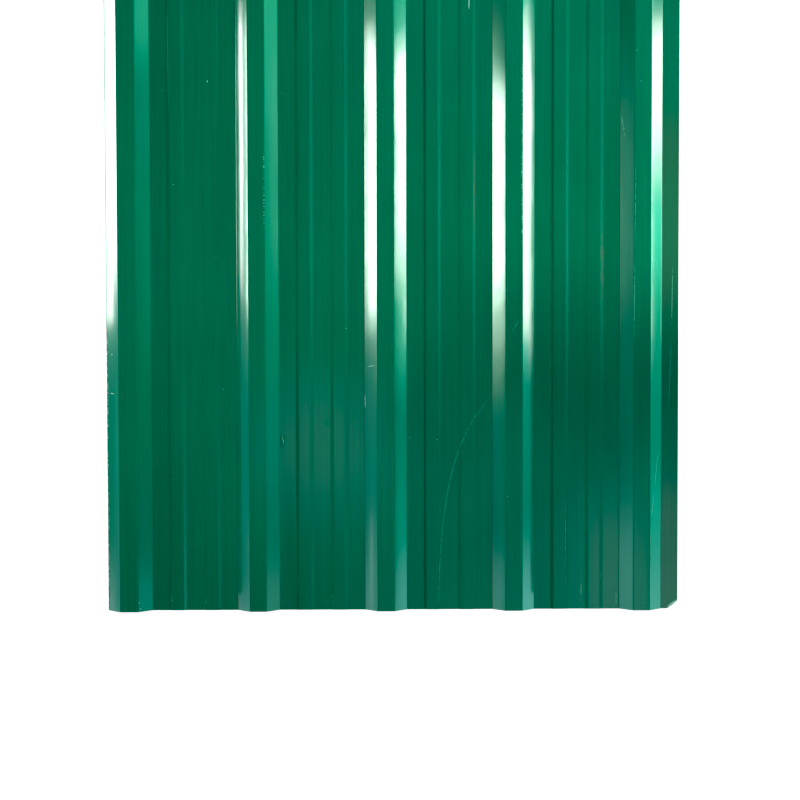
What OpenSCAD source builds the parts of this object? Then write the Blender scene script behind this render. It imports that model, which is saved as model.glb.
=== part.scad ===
// Ribbed roofing sheet, one roll-formed strip of painted steel.
// The ribs run along Y and stand up in +Z, and the floor is Z = 0.
// The origin is under the middle of the sheet.
// The lap edge, which covers the next sheet's last rib, is at -X.

/* [Strip] */
// Length of the sheet along its ribs
sheet_length = 2000; // [600:50:6000]
// Thickness of the steel strip
sheet_thickness = 0.5; // [0.3:0.05:1]

/* [Ribs] */
// Number of ribs across the sheet
rib_count = 5; // [2:1:8]
// Distance from the middle of one rib to the next
rib_pitch = 210; // [160:1:300]
// Height of a rib from the underside of a pan to the top of a crown
rib_height = 17.5; // [10:0.5:30]
// Width of a crown between its two bend lines
crown_width = 27; // [15:0.5:40]
// Distance across the sheet that one sloping web takes
web_run = 21; // [11:0.5:28]
// Radius on the inner side of every bend
bend_radius = 2.5; // [1:0.25:3.75]
// Extra width of the first rib's crown, which laps over the last rib of another sheet
lap_extra = 2.5; // [0:0.5:6]

/* [Stiffening swages] */
// Height of a swage above its pan
swage_rise = 1.2; // [0.6:0.1:2.5]
// Width of a swage, measured half way up its slopes
swage_width = 24; // [16:0.5:26]
// Distance across the sheet that one slope of a swage takes
swage_slope_run = 5; // [4:0.5:8]
// Distance from the middle of one swage to the other one in its pan
swage_spacing = 57; // [40:0.5:60]

/* [Edges] */
// Flat lip at the foot of the first rib, on the edge that laps over
lip_width = 1.5; // [1.5:0.5:15]
// Flat leg past the last rib, on the edge that is lapped
leg_width = 28; // [12:0.5:60]
// Width of the corner that is knocked off the leg's front end
lost_corner_width = 18; // [2:0.5:24]
// Length of the corner that is knocked off the leg's front end
lost_corner_length = 13; // [2:0.5:40]

/* [Hidden] */

// Largest turn between two points of a bend, in degrees
bend_step = 8;
// Room by which a cutter passes the faces that it cuts
cut_clearance = 1;

paint_green = "#00694c";

// Sizes of the strip's middle surface, from which both faces are offset
half_thickness = sheet_thickness / 2;
middle_radius = bend_radius + half_thickness;
pan_level = half_thickness;
crown_level = rib_height - half_thickness;
swage_level = pan_level + swage_rise;

rib_base = crown_width + 2 * web_run;
ribs_span = (rib_count - 1) * rib_pitch;
sheet_width = lip_width + lap_extra + rib_base + ribs_span + leg_width;
lap_edge = -sheet_width / 2;
leg_edge = sheet_width / 2;
first_rib = lap_edge + lip_width + lap_extra + rib_base / 2;

// Corners of a flat-topped fold, where its faces would meet if no bend were rounded
function fold_corners(middle, top_width, slope_run, level) = [
    [middle - top_width / 2 - slope_run, pan_level],
    [middle - top_width / 2, level],
    [middle + top_width / 2, level],
    [middle + top_width / 2 + slope_run, pan_level]
];

// A rib whose crown is wider by some extra width on its lap side
function rib_corners(middle, extra) =
    fold_corners(middle - extra / 2, crown_width + extra, web_run, crown_level);

function swage_corners(middle) =
    fold_corners(middle, swage_width - swage_slope_run, swage_slope_run, swage_level);

function pan_corners(middle) = concat(
    swage_corners(middle - swage_spacing / 2),
    swage_corners(middle + swage_spacing / 2)
);

// A rib, then the pan on its right where another rib follows
function bay_corners(bay) = let (rib = first_rib + bay * rib_pitch) concat(
    rib_corners(rib, bay == 0 ? lap_extra : 0),
    bay < rib_count - 1 ? pan_corners(rib + rib_pitch / 2) : []
);

// The whole strip's corners, walked from the lap edge to the leg's edge
strip_corners = concat(
    [[lap_edge, pan_level]],
    [for (bay = [0 : rib_count - 1]) each bay_corners(bay)],
    [[leg_edge, pan_level]]
);

function heading(from, to) = atan2(to.y - from.y, to.x - from.x);

// The direction on the left of a heading, which is up on a pan
function left_of(angle) = [-sin(angle), cos(angle)];

// Points round one bend, on the face that lies offset to the left of the middle surface
function bend(corner, angle_in, angle_out, offset) =
    let (
        turn = angle_out - angle_in,
        radius = sign(turn) * middle_radius,
        centre = corner + left_of((angle_in + angle_out) / 2) * radius / cos(turn / 2),
        steps = ceil(abs(turn) / bend_step)
    )
    [for (step = [0 : steps])
        centre - left_of(angle_in + turn * step / steps) * (radius - offset)];

// One face of the strip, from the lap edge to the leg's edge
function face_points(offset) = let (last = len(strip_corners) - 1) concat(
    [strip_corners[0] + [0, offset]],
    [for (i = [1 : last - 1]) each bend(
        strip_corners[i],
        heading(strip_corners[i - 1], strip_corners[i]),
        heading(strip_corners[i], strip_corners[i + 1]),
        offset
    )],
    [strip_corners[last] + [0, offset]]
);

function reversed(points) = [for (i = [len(points) - 1 : -1 : 0]) points[i]];

// The rolled section, the same all along the sheet
module strip_section() {
    polygon(concat(face_points(half_thickness), reversed(face_points(-half_thickness))));
}

// The corner that is knocked off, as a wedge through the leg
module lost_corner() {
    corner_height = sheet_thickness + 2 * cut_clearance;
    slope = lost_corner_length / lost_corner_width;
    overrun = cut_clearance * slope;
    translate([leg_edge, -sheet_length / 2, -cut_clearance])
        linear_extrude(corner_height)
            polygon([
                [-lost_corner_width - cut_clearance, -overrun],
                [cut_clearance, -overrun],
                [cut_clearance, lost_corner_length + overrun]
            ]);
}

// The sheet as it leaves the rolls, cut to length, with one worn corner
module ribbed_sheet() {
    color(paint_green)
        difference() {
            rotate([90, 0, 0])
                linear_extrude(sheet_length, center = true)
                    strip_section();
            lost_corner();
        }
}

ribbed_sheet();
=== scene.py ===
import math

import bpy
import numpy as np
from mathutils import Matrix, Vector


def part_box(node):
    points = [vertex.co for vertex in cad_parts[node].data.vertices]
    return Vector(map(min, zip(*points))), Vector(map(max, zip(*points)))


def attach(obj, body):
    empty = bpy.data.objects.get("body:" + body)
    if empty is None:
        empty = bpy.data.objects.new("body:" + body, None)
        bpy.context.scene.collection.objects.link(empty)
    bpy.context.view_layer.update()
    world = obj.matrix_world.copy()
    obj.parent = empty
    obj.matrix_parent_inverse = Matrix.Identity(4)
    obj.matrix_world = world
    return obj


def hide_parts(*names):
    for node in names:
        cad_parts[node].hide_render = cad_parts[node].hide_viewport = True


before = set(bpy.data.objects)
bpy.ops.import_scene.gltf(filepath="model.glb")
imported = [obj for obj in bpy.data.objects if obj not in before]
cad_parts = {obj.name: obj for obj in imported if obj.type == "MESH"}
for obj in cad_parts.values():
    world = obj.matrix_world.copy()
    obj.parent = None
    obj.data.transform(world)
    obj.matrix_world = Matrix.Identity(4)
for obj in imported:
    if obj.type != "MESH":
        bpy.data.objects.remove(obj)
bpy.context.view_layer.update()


# The sheet is one strip of steel, half a millimetre thick, drawn through pairs of rolls that press
# flat-topped ribs and shallow swages into it. A shear cuts it to length, and one corner of its flat
# leg has been knocked off since. It lies on its pans.
low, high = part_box("ribbed_sheet")
thickness = 0.0005
rib_pitch = 0.210
rib_count = 5
crown_width = 0.027
web_run = 0.021
bend_radius = 0.0025
swage_rise = 0.0012
swage_width = 0.024
swage_slope_run = 0.005
swage_spacing = 0.057
lap_extra = 0.0025
lip_width = 0.0015
lost_corner_width = 0.018
lost_corner_length = 0.013

lap_edge = low[0]
leg_edge = high[0]
front_end = low[1]
back_end = high[1]
pan_level = thickness / 2
crown_level = high[2] - thickness / 2
half_rib = crown_width / 2 + web_run
first_rib = lap_edge + lip_width + lap_extra + half_rib
rib_places = [first_rib + number * rib_pitch for number in range(rib_count)]


def fold_corners(middle, top_width, slope_run, level):
    """Corners of a flat-topped fold, where its faces would meet with no bend between them."""
    half = top_width / 2
    return [
        (middle - half - slope_run, pan_level),
        (middle - half, level),
        (middle + half, level),
        (middle + half + slope_run, pan_level),
    ]


strip_corners = [(lap_edge, pan_level)]
for rib in rib_places:
    extra = lap_extra if rib == first_rib else 0.0
    strip_corners += fold_corners(rib - extra / 2, crown_width + extra, web_run, crown_level)
    if rib == rib_places[-1]:
        break
    for side in (-1, 1):
        swage = rib + (rib_pitch + side * swage_spacing) / 2
        swage_top = swage_width - swage_slope_run
        strip_corners += fold_corners(swage, swage_top, swage_slope_run, pan_level + swage_rise)
strip_corners.append((leg_edge, pan_level))

# Small knocks that stand up from a pan: place across, place along, half width, half length, height
knocks = (
    (-0.1815, -0.7200, 0.0026, 0.0080, 0.0005),
    (-0.1095, -0.6915, 0.0030, 0.0035, 0.0002),
)

# Widest gap between two points on a flat, on a flat with a knock or a tear, and widest turn in a bend.
# A web has a few points at least, and is told from the slope of a swage by its tilt.
flat_step = 0.012
fine_step = 0.0015
bend_step = math.radians(8)
web_pieces = 4
least_web_tilt = math.radians(20)


def rolled_strip(corners):
    """Walk the strip's middle surface: places, upward normals, and which web and how far along it."""
    places, normals, web_shares, web_numbers = [], [], [], []
    web_number = 0
    radius = bend_radius + thickness / 2
    headings = [math.atan2(b[1] - a[1], b[0] - a[0]) for a, b in zip(corners, corners[1:])]
    setbacks = [0.0]
    for heading_in, heading_out in zip(headings, headings[1:]):
        setbacks.append(radius * math.tan(abs(heading_out - heading_in) / 2))
    setbacks.append(0.0)
    for flat, heading in enumerate(headings):
        forward = np.array((math.cos(heading), math.sin(heading)))
        upward = np.array((-math.sin(heading), math.cos(heading)))
        start = np.array(corners[flat]) + forward * setbacks[flat]
        end = np.array(corners[flat + 1]) - forward * setbacks[flat + 1]
        is_knocked = any(start[0] < knock[0] < end[0] for knock in knocks)
        is_leg = flat == len(headings) - 1
        is_web = abs(heading) > least_web_tilt
        step = fine_step if is_knocked or is_leg else flat_step
        pieces = max(web_pieces if is_web else 1, math.ceil(np.linalg.norm(end - start) / step))
        for share in np.linspace(0, 1, pieces + 1):
            places.append(start + (end - start) * share)
            normals.append(upward)
            web_shares.append(share if is_web else 0.0)
            web_numbers.append(web_number)
        if is_leg:
            break
        web_number = min(web_number + is_web, 2 * rib_count - 1)
        turn = headings[flat + 1] - heading
        centre = end + upward * math.copysign(radius, turn)
        steps = math.ceil(abs(turn) / bend_step)
        for share in np.arange(1, steps) / steps:
            angle = heading + turn * share
            normal = np.array((-math.sin(angle), math.cos(angle)))
            places.append(centre - normal * math.copysign(radius, turn))
            normals.append(normal)
            web_shares.append(0.0)
            web_numbers.append(web_number)
    return np.array(places), np.array(normals), np.array(web_shares), np.array(web_numbers)


strip_places, strip_normals, web_shares, web_numbers = rolled_strip(strip_corners)

# Rows of points along the sheet, closer together over the half that has the wear and closest at a knock
worn_half_end = 0.05
near_rows = np.linspace(front_end, worn_half_end, 106)
far_rows = np.linspace(worn_half_end, back_end, 15)
knock_row_step = 2 * fine_step
knock_rows = [knock[1] + knock_row_step * np.arange(-5, 6) for knock in knocks]
rows = np.unique(np.concatenate((near_rows, far_rows, *knock_rows)))

across, along = np.meshgrid(strip_places[:, 0], rows)
shares = np.broadcast_to(web_shares, across.shape)

# The rolls leave every web a little bowed and rippled, and the flats wave slightly. The bows are listed
# from the lap edge on, and a wave's count is in radians for each metre.
web_bows = np.array((0.16, 0.12, 0.30, 0.08, 0.16, 0.16, 0.12, 0.16, 0.05, 0.12)) * 0.001
pan_wave_height = 0.00010
long_ripple_height = 0.00002
short_ripple_height = 0.00003
inside_web = 4 * shares * (1 - shares)
bow = web_bows[web_numbers] * inside_web
pan_wave = pan_wave_height * (1 + np.sin(along * 21 + across * 9) * np.sin(across * 17 + 0.6))
long_ripple = long_ripple_height * np.sin(along * 47 + across * 31)
short_ripple = short_ripple_height * np.sin(along * 140 - across * 90) * np.sin(along * 31 + across * 23)
lift = bow + pan_wave + (long_ripple + short_ripple) * inside_web
for knock_across, knock_along, half_width, half_length, height in knocks:
    away = np.hypot((across - knock_across) / half_width, (along - knock_along) / half_length)
    lift += height * np.exp(-away ** 2)

# The lost corner: the front end of the leg steps back along a rounded, ragged tear
tear_start = leg_edge - lost_corner_width
tear_share = np.clip((across - tear_start) / lost_corner_width, 0, 1)
tear_bow = 1.4
tear_reach = 0.08
ragged_depth = 0.0006
ragged = ragged_depth * np.sin(across * 2400) * np.sin(across * 900 + 1.0)
on_tear = (tear_share > 0) * (tear_share < 1)
step_back = lost_corner_length * tear_share ** tear_bow + ragged * on_tear
near_front = np.clip(1 - (along - front_end) / tear_reach, 0, 1)
along = along + step_back * near_front

columns = len(strip_places)
row_count = len(rows)
heights = np.broadcast_to(strip_places[:, 1], across.shape)
normal_across = np.broadcast_to(strip_normals[:, 0], across.shape)
normal_up = np.broadcast_to(strip_normals[:, 1], across.shape)


def face_of_strip(offset):
    """Points of one face of the strip, which lies offset from its middle surface."""
    out = offset + lift
    face = np.stack((across + normal_across * out, along, heights + normal_up * out), axis=-1)
    return face.reshape(-1, 3)


points = np.concatenate((face_of_strip(thickness / 2), face_of_strip(-thickness / 2)))
under = row_count * columns
corner_of_cell = (np.arange(row_count - 1)[:, None] * columns + np.arange(columns - 1)).ravel()
upper_faces = np.stack(
    (corner_of_cell, corner_of_cell + 1, corner_of_cell + columns + 1, corner_of_cell + columns), axis=1
)
lower_faces = upper_faces[:, ::-1] + under


def edge_faces(line):
    """The cut faces between the two faces of the strip, along one line of its points."""
    return np.stack((line[:-1], line[:-1] + under, line[1:] + under, line[1:]), axis=1)


front_line = np.arange(columns)
back_line = front_line[::-1] + (row_count - 1) * columns
lap_line = np.arange(row_count)[::-1] * columns
leg_line = np.arange(row_count) * columns + columns - 1
cut_faces = np.concatenate([edge_faces(line) for line in (front_line, leg_line, back_line, lap_line)])
faces = np.concatenate((upper_faces, lower_faces, cut_faces))

sheet_mesh = bpy.data.meshes.new("painted_sheet")
sheet_mesh.from_pydata(points.tolist(), [], faces.tolist())
sheet_mesh.validate()
sheet_mesh.shade_smooth()
widest_smooth_turn = math.radians(50)
sheet_mesh.set_sharp_from_angle(angle=widest_smooth_turn)
coats = np.repeat((0, 1, 2), (len(upper_faces), len(lower_faces), len(cut_faces)))
sheet = bpy.data.objects.new("painted_sheet", sheet_mesh)
bpy.context.scene.collection.objects.link(sheet)
even_shading = sheet.modifiers.new("flats_stay_flat", "WEIGHTED_NORMAL")
even_shading.keep_sharp = True
even_shading.weight = 80


# The weather face carries a gloss coil paint over primer and zinc. Its film is smooth and deep green,
# with fine lines from the rolls along the strip, and years of handling have scratched it.
class Feed:
    """One socket of a material. Arithmetic on it adds Math nodes, and node() adds any other node."""

    def __init__(self, tree, socket=None):
        self.tree = tree
        self.socket = socket

    def node(self, kind, settings=None, feeds=None, output=0):
        added = self.tree.nodes.new(kind)
        for name, setting in (settings or {}).items():
            setattr(added, name, setting)
        for name, feed in (feeds or {}).items():
            if isinstance(feed, Feed):
                self.tree.links.new(feed.socket, added.inputs[name])
            else:
                added.inputs[name].default_value = feed
        return Feed(self.tree, added.outputs[output] if len(added.outputs) else None)

    def math(self, operation, *terms):
        return self.node("ShaderNodeMath", {"operation": operation}, dict(enumerate(terms)))

    def __add__(self, other):
        return self.math("ADD", self, other)

    def __radd__(self, other):
        return self.math("ADD", other, self)

    def __sub__(self, other):
        return self.math("SUBTRACT", self, other)

    def __rsub__(self, other):
        return self.math("SUBTRACT", other, self)

    def __mul__(self, other):
        return self.math("MULTIPLY", self, other)

    def __rmul__(self, other):
        return self.math("MULTIPLY", other, self)

    def __truediv__(self, other):
        return self.math("DIVIDE", self, other)

    def __abs__(self):
        return self.math("ABSOLUTE", self)


def new_material(name):
    """A material with an empty node tree, and a feed to start its nodes from."""
    made = bpy.data.materials.new(name)
    made.use_nodes = True
    made.node_tree.nodes.clear()
    return made, Feed(made.node_tree)


def fade(value, start, end):
    """0 before start, 1 past end, and a smooth rise between them."""
    feeds = {"Value": value, "From Min": start, "From Max": end}
    return value.node("ShaderNodeMapRange", {"interpolation_type": "SMOOTHSTEP"}, feeds)


def blend(share, first, second):
    """One colour turning into another as share goes from 0 to 1."""
    return share.node("ShaderNodeMix", {"data_type": "RGBA"}, {0: share, 6: first, 7: second}, output=2)


def stretched(where, scale):
    """Places on the sheet, scaled along each axis."""
    return where.node("ShaderNodeVectorMath", {"operation": "MULTIPLY"}, {0: where, 1: scale})


def cloud(where, scale, detail=3.0):
    """Soft noise from 0 to 1 over the surface."""
    return where.node("ShaderNodeTexNoise", None, {"Vector": where, "Scale": scale, "Detail": detail})


paint, tree = new_material("green_gloss_paint")
place = tree.node("ShaderNodeTexCoord", output="Object")
x = place.node("ShaderNodeSeparateXYZ", None, {0: place}, output=0)
y = place.node("ShaderNodeSeparateXYZ", None, {0: place}, output=1)

# The film's own colour, with fine lines along the strip and a slow change of tone over it
fresh_green = (0.0, 0.150, 0.067, 1)
faded_green = (0.0, 0.122, 0.0545, 1)
roll_lines = cloud(stretched(place, (1.0, 0.012, 1.0)), 420.0, 2.0)
tone = cloud(place, 5.0)
green = blend(fade(0.55 * roll_lines + 0.45 * tone, 0.34, 0.66), fresh_green, faded_green)

# Places shaken by a millimetre or so, so that no mark has a ruled edge
shake_size = (0.0016, 0.0016, 0.0)
shake_feeds = {"Vector": place, "Scale": 380.0, "Detail": 3.0}
noise = place.node("ShaderNodeTexNoise", None, shake_feeds, output="Color")
shake = noise.node("ShaderNodeVectorMath", {"operation": "SUBTRACT"}, {0: noise, 1: (0.5, 0.5, 0.5)})
ragged_feeds = {0: shake, 1: shake_size, 2: place}
ragged_place = shake.node("ShaderNodeVectorMath", {"operation": "MULTIPLY_ADD"}, ragged_feeds)
speckle = cloud(place, 900.0, 2.0)
patches = cloud(place, 60.0)


def spot(where, middle, turn, half_sizes, rim):
    """1 inside an upright oval column and 0 outside it, with a soft rim."""
    column_height = 1000.0
    feeds = {
        "Vector": where,
        "Location": (*middle, 0),
        "Rotation": (0, 0, turn),
        "Scale": (*half_sizes, column_height),
    }
    local = where.node("ShaderNodeMapping", {"vector_type": "TEXTURE"}, feeds)
    away = local.node("ShaderNodeVectorMath", {"operation": "LENGTH"}, {0: local}, output="Value")
    return fade(away, 1.0, rim)


def stroke(start, end, half_width, rim=0.5):
    """1 on a straight mark in the paint from one place to another, and 0 off it."""
    run = Vector(end) - Vector(start)
    middle = (Vector(start) + Vector(end)) / 2
    half_sizes = (half_width, run.length / 2 + half_width)
    return spot(ragged_place, middle, math.atan2(-run.x, run.y), half_sizes, rim)


def band(value, middle, half_width, rim):
    """1 within a band of values and 0 outside it, with a soft rim."""
    return fade(abs(value - middle), half_width + rim, half_width)


def either(masks):
    """Where any one of some masks is."""
    joined = masks[0]
    for mask in masks[1:]:
        joined = joined.math("MAXIMUM", joined, mask)
    return joined


# Brown dirt: a film on the leg, which lay under the next sheet, and a line along its cut edge. The same
# brown is painted shade in dark lines at the foot of the webs, and darkens lines on some swages
dirt_and_shade_brown = (0.056, 0.058, 0.026, 1)
streaks = cloud(stretched(place, (1.0, 0.03, 1.0)), 120.0)
leg_start = rib_places[-1] + half_rib
on_leg = fade(x, leg_start - 0.0020, leg_start + 0.0020)
leg_film = on_leg * (0.28 + 0.22 * band(y, -0.36, 0.12, 0.10) + 0.20 * (streaks - 0.5))
leg_rim = 0.20 * fade(x, leg_edge - 0.0030, leg_edge - 0.0012)
dark_line_half = 0.0006
# Painted shade: a dark line at the left foot of every rib after the first, where its web meets the pan
foot_shade_lines = [0.45 * band(x, rib - half_rib, dark_line_half, 0.0010) for rib in rib_places[1:]]
# Darker lines along the left slope of the first swage in the second, third and fourth pans
first_slope = (rib_pitch - swage_spacing - swage_width) / 2 - 0.0005
swage_darkening = zip(rib_places[1:4], (0.35, 0.80, 0.80))
swage_lines = [depth * band(x, rib + first_slope, dark_line_half, 0.0014) for rib, depth in swage_darkening]
rim_dirt_and_dark_lines = either([leg_rim, *foot_shade_lines, *swage_lines]) * fade(patches + roll_lines, 0.55, 1.05)
dirt_and_painted_shade = either([leg_film, rim_dirt_and_dark_lines])

# Pale dust lies on the front end of the leg
dust_grey = (0.150, 0.190, 0.140, 1)
dust = 0.45 * on_leg * fade(y, -0.73, -0.85) * (0.7 + 0.6 * (streaks - 0.5))

# Rusty water has dried in a few soft stains: depth of colour, start, end and half width
rust_brown = (0.150, 0.095, 0.042, 1)
stain_lines = (
    (0.36, (0.3435, -0.36), (0.350, -0.51), 0.012),
    (0.45, (-0.443, -0.60), (-0.441, -0.68), 0.003),
    (0.45, (-0.157, -0.53), (-0.157, -0.66), 0.002),
    (0.40, (0.134, -0.23), (0.134, -0.40), 0.002),
    (0.60, (0.202, -0.944), (0.203, -0.948), 0.003),
)
stains = [depth * stroke(start, end, half, 0.0) for depth, start, end, half in stain_lines]
stained = either(stains) * fade(streaks + patches, 0.65, 1.10)

# Scratches that dull the film: start across and along, end across and along, half width
scratch_lines = (
    (0.2075, -0.519, 0.1928, -0.545, 0.0007),
    (0.4608, -0.427, 0.4591, -0.539, 0.0006),
    (0.4591, -0.539, 0.4545, -0.681, 0.0005),
    (0.3964, -0.230, 0.3951, -0.428, 0.0005),
    (0.3953, -0.410, 0.3943, -0.572, 0.0008),
    (0.3745, -0.186, 0.3815, -0.228, 0.0006),
    (0.3107, -0.952, 0.3108, -0.986, 0.0006),
    (-0.3660, -0.970, -0.3662, -0.998, 0.0006),
    (-0.3100, -0.973, -0.3100, -0.998, 0.0005),
    (-0.1001, -0.971, -0.1002, -0.998, 0.0006),
    (0.3425, -0.936, 0.3425, -0.956, 0.0005),
    (0.3690, -0.969, 0.3690, -0.997, 0.0006),
    (0.2847, -0.794, 0.2851, -0.994, 0.0005),
)
straight = either([stroke(line[0:2], line[2:4], line[4]) for line in scratch_lines])

# Two scratches go deeper, one along the first pan and one down the last web, and show unbroken
deep_lines = (
    (-0.3667, 0.010, -0.3661, -0.198, 0.0006),
    (0.4375, -0.731, 0.4298, -0.802, 0.0005),
    (0.4298, -0.802, 0.4236, -0.851, 0.0005),
    (0.4236, -0.851, 0.4220, -0.917, 0.0005),
    (0.4220, -0.917, 0.4230, -0.990, 0.0005),
)
deep = either([stroke(line[0:2], line[2:4], line[4]) for line in deep_lines])

# The longest scratch swings in from the fourth rib and straightens along the third pan
swing_width = 0.1075
swing_place = -0.630
swing_length = 0.0988
straight_place = 0.0715
swing = swing_width * y.math("EXPONENT", (y - swing_place) / swing_length)
curved = fade(abs(x - straight_place - swing), 0.0012, 0.0004) * band(y, -0.820, 0.150, 0.03)

# Crown edges worn to a comb of short ticks where other sheets were dragged over them
ticks = fade(cloud(stretched(place, (0.15, 1.0, 0.15)), 420.0, 1.0), 0.50, 0.60)
crown_rim = crown_width / 2 - 0.0010
worn_edge = either([
    band(x, rib_places[1] + crown_rim, 0.0007, 0.0006) * band(y, -0.31, 0.05, 0.02),
    band(x, rib_places[3] + crown_rim, 0.0008, 0.0006) * band(y, -0.25, 0.12, 0.04),
])
dashes = fade(cloud(stretched(place, (0.3, 1.0, 0.3)), 160.0, 2.0), 0.36, 0.52)
scratched = either([straight * dashes, 0.8 * deep, curved * (0.12 + 0.40 * dashes), worn_edge * ticks])

# Chips down to the primer: place across, place along, half size
chip_places = (
    (-0.3020, -0.132, 0.0026), (-0.3587, -0.300, 0.0014), (-0.2900, -0.418, 0.0012),
    (-0.3756, -0.146, 0.0010), (-0.1805, -0.151, 0.0010), (0.0270, -0.715, 0.0014),
    (0.0723, -0.719, 0.0014), (0.1466, -0.491, 0.0012), (0.0801, -0.386, 0.0010),
    (-0.0771, -0.535, 0.0012), (-0.2798, -0.635, 0.0013), (-0.3531, -0.896, 0.0010),
    (-0.3097, -0.947, 0.0012), (-0.3605, -0.783, 0.0012), (0.3974, -0.085, 0.0014),
    (0.4041, -0.135, 0.0012), (0.1870, -0.222, 0.0012), (0.1863, -0.474, 0.0012),
    (0.1874, -0.811, 0.0014), (-0.4170, -0.985, 0.0016), (-0.4155, -0.995, 0.0018),
)
chips = []
slant_step = 0.9
for number, (chip_across, chip_along, half) in enumerate(chip_places):
    half_sizes = (0.6 * half, 1.3 * half)
    chips.append(spot(ragged_place, (chip_across, chip_along), slant_step * number, half_sizes, 0.3))

# Rubbed places: a nick, the torn corner's rim, the lap edge, scuffs on two webs and the larger knock
nick = stroke((0.1255, 0.006), (0.1254, -0.016), 0.0012)
torn_rim = stroke((0.4535, -0.9985), (0.4705, -0.9865), 0.0030)
lap_rub = fade(x, lap_edge + 0.0026, lap_edge + 0.0016) * either([fade(y, -0.54, -0.51), 0.5 * ticks])
scuffs = [
    stroke((-0.4640, -0.6410), (-0.4560, -0.6420), 0.0006),
    stroke((-0.4620, -0.5770), (-0.4580, -0.5780), 0.0005),
    stroke((-0.0420, -0.5980), (-0.0300, -0.5965), 0.0006),
    stroke((-0.0465, -0.6420), (-0.0455, -0.6700), 0.0005),
]
knock_rub = stroke((-0.1830, -0.7085), (-0.1800, -0.7270), 0.0008)
speckled = either([0.6 * either(chips), nick, torn_rim, *scuffs, 0.8 * knock_rub])
chipped = either([speckled * fade(speckle, 0.30, 0.50), lap_rub])

scratch_green = (0.13, 0.42, 0.27, 1)
primer_pale = (0.40, 0.70, 0.57, 1)
# The brown here is dirt on the leg, and painted shade in the lines at the web feet
dirt_and_shade_colour = blend(dust, blend(dirt_and_painted_shade, green, dirt_and_shade_brown), dust_grey)
stained_and_shaded_colour = blend(stained, dirt_and_shade_colour, rust_brown)
worn_and_shaded_colour = blend(0.75 * scratched, stained_and_shaded_colour, scratch_green)
colour = blend(0.9 * chipped, worn_and_shaded_colour, primer_pale)
broken = either([scratched, chipped])

bump_feeds = {"Strength": 0.05, "Distance": 0.0003, "Height": roll_lines}
roll_bump = place.node("ShaderNodeBump", None, bump_feeds)
gloss = tree.node("ShaderNodeBsdfPrincipled", None, {
    "Base Color": colour,
    # Dirt and the painted shade lines raise the roughness too
    "Roughness": 0.13 + 0.35 * broken + 0.20 * dirt_and_painted_shade,
    "Specular IOR Level": 0.5,
    "Specular Tint": (0.02, 1.0, 0.55, 1),
    "Coat Weight": 1 - 0.7 * broken,
    "Coat Roughness": 0.10,
    "Coat IOR": 1.5,
    "Normal": roll_bump,
})
tree.node("ShaderNodeOutputMaterial", None, {"Surface": gloss})


# The other face has a thin grey backing coat, matt and plain.
# It is baked on at the mill, and only the ends of the ribs show it.
backing, tree = new_material("grey_backing_coat")
backing_place = tree.node("ShaderNodeTexCoord", output="Object")
pale_grey = (0.40, 0.41, 0.40, 1)
dull_grey = (0.33, 0.34, 0.33, 1)
coat = tree.node("ShaderNodeBsdfPrincipled", None, {
    "Base Color": blend(cloud(backing_place, 30.0), pale_grey, dull_grey),
    "Roughness": 0.5,
})
tree.node("ShaderNodeOutputMaterial", None, {"Surface": coat})


# The shear leaves bare steel and a line of zinc on the cut edges.
# They have dulled and carry a little dirt.
cut_edge, tree = new_material("bare_cut_edge")
edge_place = tree.node("ShaderNodeTexCoord", output="Object")
bright_zinc = (0.48, 0.50, 0.48, 1)
dirty_steel = (0.16, 0.15, 0.12, 1)
edge = tree.node("ShaderNodeBsdfPrincipled", None, {
    "Base Color": blend(cloud(edge_place, 160.0), bright_zinc, dirty_steel),
    "Metallic": 0.8,
    "Roughness": 0.45,
})
tree.node("ShaderNodeOutputMaterial", None, {"Surface": edge})

for coat_material in (paint, backing, cut_edge):
    sheet_mesh.materials.append(coat_material)
sheet_mesh.polygons.foreach_set("material_index", coats.astype(np.int32))
sheet_mesh.update()
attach(sheet, "root")
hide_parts("ribbed_sheet")


# The floor is a plain white studio table, lit a little from within so that it stays white right up to
# the sheet. It reaches well past the sheet on every side.
reach = 14.0
floor_corners = [(-reach, -reach, 0), (reach, -reach, 0), (reach, reach, 0), (-reach, reach, 0)]
floor_mesh = bpy.data.meshes.new("white_floor")
floor_mesh.from_pydata(floor_corners, [], [(0, 1, 2, 3)])
floor = bpy.data.objects.new("white_floor", floor_mesh)
bpy.context.scene.collection.objects.link(floor)
floor.visible_glossy = False
white_table, tree = new_material("white_table")
table_top = tree.node("ShaderNodeBsdfPrincipled", None, {
    "Base Color": (0.86, 0.86, 0.86, 1),
    "Roughness": 0.8,
    "Specular IOR Level": 0.0,
    "Emission Color": (1, 1, 1, 1),
    "Emission Strength": 0.6,
})
tree.node("ShaderNodeOutputMaterial", None, {"Surface": table_top})
floor_mesh.materials.append(white_table)


# Soft boxes light the paint's own colour, and are kept out of its reflections. The strongest stands at
# the right, and weaker ones stand low at three sides and hang over the sheet.
def soft_box(name, stand, target, size, power):
    """A large square lamp that stands at one place and faces another."""
    lamp = bpy.data.lights.new(name, "AREA")
    lamp.shape = "SQUARE"
    lamp.size = size
    lamp.energy = power
    box = bpy.data.objects.new(name, lamp)
    box.location = stand
    box.rotation_euler = (Vector(target) - Vector(stand)).to_track_quat("-Z", "Y").to_euler()
    box.visible_glossy = False
    box.visible_camera = False
    bpy.context.scene.collection.objects.link(box)


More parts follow.
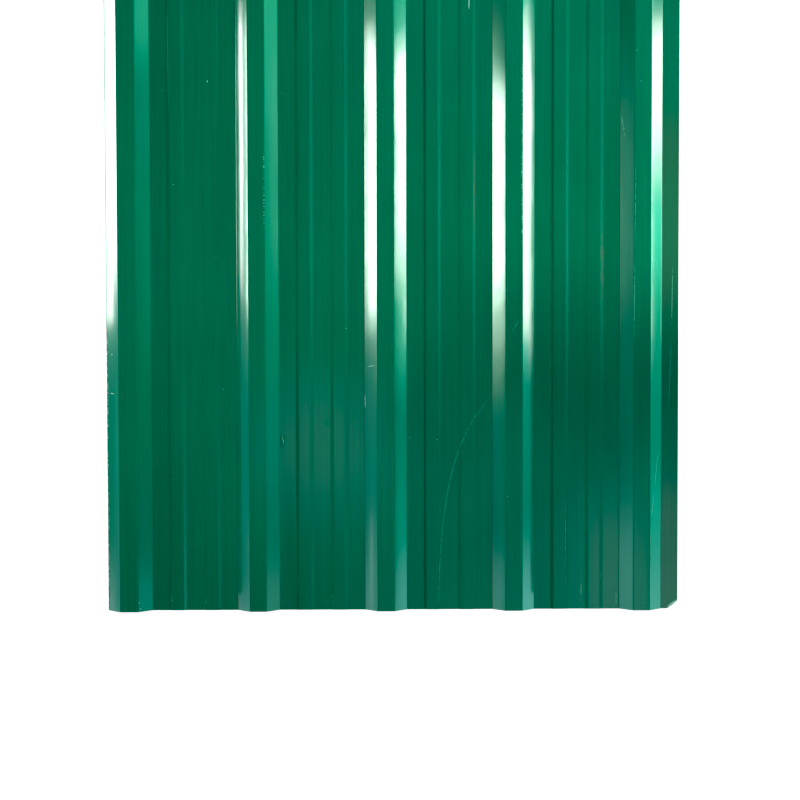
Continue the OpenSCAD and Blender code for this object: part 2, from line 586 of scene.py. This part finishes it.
soft_box("right_box", (2.4, -0.22, 0.55), (0.0, -0.3, 0.0), 0.7, 36)
soft_box("right_low_box", (0.72, -0.42, 0.018), (0.43, -0.42, 0.01), 0.03, 2.0)
soft_box("front_low_box", (1.7, -1.3, 0.18), (0.3, -0.9, 0.0), 0.3, 1)
soft_box("left_low_box", (-1.4, -0.30, 0.20), (-0.4, -0.35, 0.0), 0.3, 10.5)
soft_box("top_box", (1.1, -0.2, 1.3), (0.1, -0.3, 0.0), 0.6, 18.5)
soft_box("top_front_box", (0.45, -1.25, 1.3), (0.1, -0.9, 0.0), 0.6, 5.2)
soft_box("top_left_box", (-0.6, -0.40, 1.6), (-0.3, -0.4, 0.0), 0.8, 8.8)


# Black flags keep the lamps off the pans beside the third and fourth ribs, short of their front end.
# Two stand at the right of the sheet and one hangs over it, and no eye and no reflection sees them.
flag_corners = {
    "far_flag": [(0.75, -0.46, 0.0), (0.75, -0.85, 0.0), (0.75, -0.85, 1.5), (0.75, -0.46, 1.5)],
    "near_flag": [(0.55, -0.49, 0.05), (0.55, -0.60, 0.05), (0.55, -0.60, 1.0), (0.55, -0.49, 1.0)],
    "top_flag": [(0.32, -0.52, 0.4), (0.65, -0.52, 0.4), (0.65, -0.43, 0.4), (0.32, -0.43, 0.4)],
}
for flag_name, corners in flag_corners.items():
    flag_mesh = bpy.data.meshes.new(flag_name)
    flag_mesh.from_pydata(corners, [], [(0, 1, 2, 3)])
    flag = bpy.data.objects.new(flag_name, flag_mesh)
    bpy.context.scene.collection.objects.link(flag)
    flag.visible_camera = False
    flag.visible_glossy = False
    flag.visible_diffuse = False


# Reflector cards stand upright at both sides, and the gloss alone shows them. Each rib's web looks at a
# strip of its own height, bright far along the sheet and dim short of it.
# A run gives places along the sheet, with the glow and its tint there.
card_distance = 2.5
card_front = -1.7
card_back = 1.0
full_glow = 30.0
white = (1.22, 0.94, 0.98)
warm = (1.0, 0.80, 0.74)
neutral = (1.0, 1.0, 1.0)
rosy = (1.26, 0.87, 1.0)
leaf = (0.45, 1.30, 1.0)
pale = (0.75, 0.96, 1.0)
blue = (0.52, 0.92, 1.0)
slate = (0.62, 0.76, 1.0)
ash = (0.82, 0.80, 1.0)
dusk = (1.35, 0.78, 1.0)
teal = (0.24, 1.16, 1.0)


def glowing_card(name, corners, shine):
    """A card that only the gloss shows, from its corners and a rule for its colour over it."""
    mesh = bpy.data.meshes.new(name)
    mesh.from_pydata(corners, [], [tuple(range(len(corners)))])
    card = bpy.data.objects.new(name, mesh)
    bpy.context.scene.collection.objects.link(card)
    glow, tree = new_material(name)
    card_place = tree.node("ShaderNodeTexCoord", output="Object")
    lit = tree.node("ShaderNodeBsdfPrincipled", None, {
        "Base Color": (0, 0, 0, 1),
        "Specular IOR Level": 0.0,
        "Emission Color": shine(card_place),
        "Emission Strength": full_glow,
    })
    tree.node("ShaderNodeOutputMaterial", None, {"Surface": lit})
    mesh.materials.append(glow)
    card.visible_camera = False
    card.visible_diffuse = False
    card.visible_shadow = False


def glow_colour(level, tint):
    """A card's colour for a glow and its tint."""
    return [part * level / full_glow for part in tint] + [1]


def glow_along(card_place, run):
    """The colour of a card that changes along the sheet."""
    card_along = card_place.node("ShaderNodeSeparateXYZ", None, {0: card_place}, output=1)
    colour = glow_colour(*run[0][1:])
    for (start, *_), (end, level, tint) in zip(run, run[1:]):
        colour = blend(fade(card_along, start, end), colour, glow_colour(level, tint))
    return colour


def side_card(name, side, bottom, top, run):
    """An upright strip of card at one side of the sheet."""
    corners = [(card_front, bottom), (card_back, bottom), (card_back, top), (card_front, top)]
    upright = [(side * card_distance, card_along, up) for card_along, up in corners]
    glowing_card(name, upright, lambda card_place: glow_along(card_place, run))


side_card("left_first", -1, -0.25, 0.05, (
    (-1.46, 2.1, ash), (-1.14, 0.45, ash), (-0.80, 0.40, slate), (-0.50, 0.8, ash), (-0.42, 15, white),
))
side_card("left_second", -1, 0.05, 0.30, (
    (-1.46, 2.0, ash), (-1.33, 0.85, slate), (-0.60, 0.80, slate), (-0.45, 1.2, ash),
    (-0.24, 10.5, rosy), (0.05, 17, rosy), (0.45, 21, rosy), (0.62, 2.2, rosy),
))
side_card("left_second_crown", -1, 0.30, 0.42, (
    (-1.46, 2.0, ash), (-1.33, 0.85, slate), (-0.60, 0.75, slate), (-0.45, 0.8, ash),
    (-0.20, 1.0, white), (0.45, 1.5, white), (0.62, 0.8, warm),
))
third_run = (
    (-1.08, 1.0, slate), (-0.64, 0.90, ash), (-0.49, 2.0, white), (-0.38, 21, white), (0.49, 21, white),
    (0.61, 1.7, warm), (0.72, 0.7, warm),
)
side_card("left_third_foot", -1, 0.42, 0.47, ((-1.26, 1.1, ash), *third_run))
side_card("left_third_streak", -1, 0.47, 0.54, ((-1.26, 3.4, ash), *third_run))
side_card("left_third", -1, 0.54, 0.66, ((-1.26, 1.3, ash), *third_run))
side_card("left_fourth", -1, 0.66, 0.945, (
    (-1.45, 1.8, ash), (-1.22, 0.54, slate), (-0.78, 0.6, ash), (-0.62, 2.6, warm), (-0.47, 7.5, warm),
    (-0.20, 22, white), (0.34, 23, white), (0.50, 1.5, warm), (0.80, 0.27, warm),
))
side_card("left_last", -1, 1.01, 1.45, (
    (-1.40, 2.0, ash), (-1.00, 0.45, slate), (-0.55, 0.36, dusk), (-0.12, 0.72, dusk),
    (0.15, 0.66, dusk), (0.70, 0.09, dusk),
))
side_card("right_last", 1, -0.25, 0.13, (
    (-1.42, 2.2, blue), (-1.08, 1.8, teal), (-0.88, 0.9, teal), (-0.42, 0.75, teal), (-0.12, 2.5, teal),
    (0.21, 10.5, white), (0.40, 13, white), (0.53, 0.9, blue),
))
side_card("right_fourth_foot", 1, 0.13, 0.25, (
    (-1.42, 3.4, blue), (-1.12, 1.3, teal), (-0.66, 1.5, teal), (-0.44, 8.5, white), (0.30, 15, white),
    (0.60, 2.2, blue),
))
side_card("right_fourth", 1, 0.25, 0.40, (
    (-1.42, 3.4, blue), (-1.10, 1.0, teal), (-0.66, 1.5, teal), (-0.56, 3.2, teal), (-0.45, 15, white),
    (0.40, 17, white), (0.52, 11, white), (0.62, 2.6, teal),
))
side_card("right_third", 1, 0.40, 0.63, (
    (-1.44, 2.8, blue), (-1.20, 1.7, teal), (-0.80, 1.1, teal), (-0.42, 2.5, leaf), (-0.06, 17, white),
    (0.45, 22, white), (0.56, 2.6, teal), (0.66, 2.2, leaf),
))
side_card("right_second", 1, 0.69, 1.01, (
    (-1.50, 1.5, pale), (-1.25, 0.75, blue), (-0.93, 1.15, blue), (-0.50, 0.55, leaf),
    (0.15, 1.0, leaf), (0.50, 1.9, leaf), (0.75, 2.2, leaf),
))
side_card("right_first", 1, 1.01, 1.45, (
    (-1.55, 1.5, blue), (-1.35, 0.5, blue), (-0.85, 0.20, leaf), (-0.10, 0.28, leaf), (0.50, 0.8, blue),
    (0.75, 2.3, leaf),
))


# A last card hangs high over the camera like a pale ceiling. The pans and crowns show it as a faint
# veil, with two brighter patches, one over the second pan and one over the lost corner.
roof_height = 6.0
roof_corners = [(-3.4, -3.4), (5.2, -3.4), (5.2, 2.8), (-3.4, 2.8)]
patch_grey = (1.22, 0.80, 1.0)
corner_grey = (1.15, 0.82, 1.0)


def roof_shine(roof_place):
    """The ceiling's colour: dim over the first pans, brighter to the right and at both ends."""
    roof_across = roof_place.node("ShaderNodeSeparateXYZ", None, {0: roof_place}, output=0)
    over_left = glow_along(roof_place, (
        (-1.40, 0.08, blue), (-0.60, 0.01, blue), (1.00, 0.01, blue), (1.60, 0.08, blue),
    ))
    over_right = glow_along(roof_place, (
        (-1.40, 0.36, blue), (-0.60, 0.16, blue), (0.20, 0.06, blue), (1.60, 0.36, blue),
    ))
    over_slopes = glow_along(roof_place, (
        (-2.00, 0.40, neutral), (-0.60, 0.40, neutral), (0.10, 0.70, neutral), (1.60, 0.70, neutral),
    ))
    veil = blend(fade(roof_across, -1.0, 0.3), over_left, over_right)
    middle_patch = spot(roof_place, (-0.42, -1.12), 0.0, (0.60, 0.66), 0.30)
    corner_patch = spot(roof_place, (1.40, -1.98), 0.0, (0.37, 0.76), 0.40)
    veil = blend(middle_patch, veil, glow_colour(0.85, patch_grey))
    veil = blend(corner_patch, veil, glow_colour(1.10, corner_grey))
    return blend(fade(roof_across, 2.1, 2.4), veil, over_slopes)


glowing_card("ceiling", [(*corner, roof_height) for corner in roof_corners], roof_shine)


# The room round the table is plain and white. It is bright to the eye, evenly soft on the paint, and
# dim in the gloss, so that only the cards show there.
room = bpy.data.worlds.new("white_room")
room.use_nodes = True
room.node_tree.nodes.clear()
tree = Feed(room.node_tree)
is_seen = tree.node("ShaderNodeLightPath", output="Is Camera Ray")
is_mirrored = tree.node("ShaderNodeLightPath", output="Is Glossy Ray")
soft = tree.node("ShaderNodeBackground", None, {"Color": (1, 1, 1, 1), "Strength": 0.12})
dark = tree.node("ShaderNodeBackground", None, {"Color": (1, 1, 1, 1), "Strength": 0.03})
bright = tree.node("ShaderNodeBackground", None, {"Color": (1, 1, 1, 1), "Strength": 1.2})
lighting = tree.node("ShaderNodeMixShader", None, {0: is_mirrored, 1: soft, 2: dark})
look = tree.node("ShaderNodeMixShader", None, {0: is_seen, 1: lighting, 2: bright})
tree.node("ShaderNodeOutputWorld", None, {"Surface": look})
bpy.context.scene.world = room


# The picture is developed plainly. The photograph holds no red in the paint's deep green, so the red
# starts from a small black level.
developing = bpy.context.scene.view_settings
developing.view_transform = "Standard"
developing.use_curve_mapping = True
developing.curve_mapping.black_level = (0.032, 0.0, 0.0)
developing.curve_mapping.update()


# The camera hangs above the front half of the sheet and looks straight down.
# It leans a degree or two out of plumb, as the photograph's own camera did.
camera_data = bpy.data.cameras.new("camera")
camera_data.lens = 59.6
camera_data.sensor_width = 36.0
camera = bpy.data.objects.new("camera", camera_data)
camera.location = (-0.0079, -0.5870, 2.1816)
camera.rotation_euler = [math.radians(angle) for angle in (-1.740, -0.511, -0.115)]
bpy.context.scene.collection.objects.link(camera)
bpy.context.scene.camera = camera
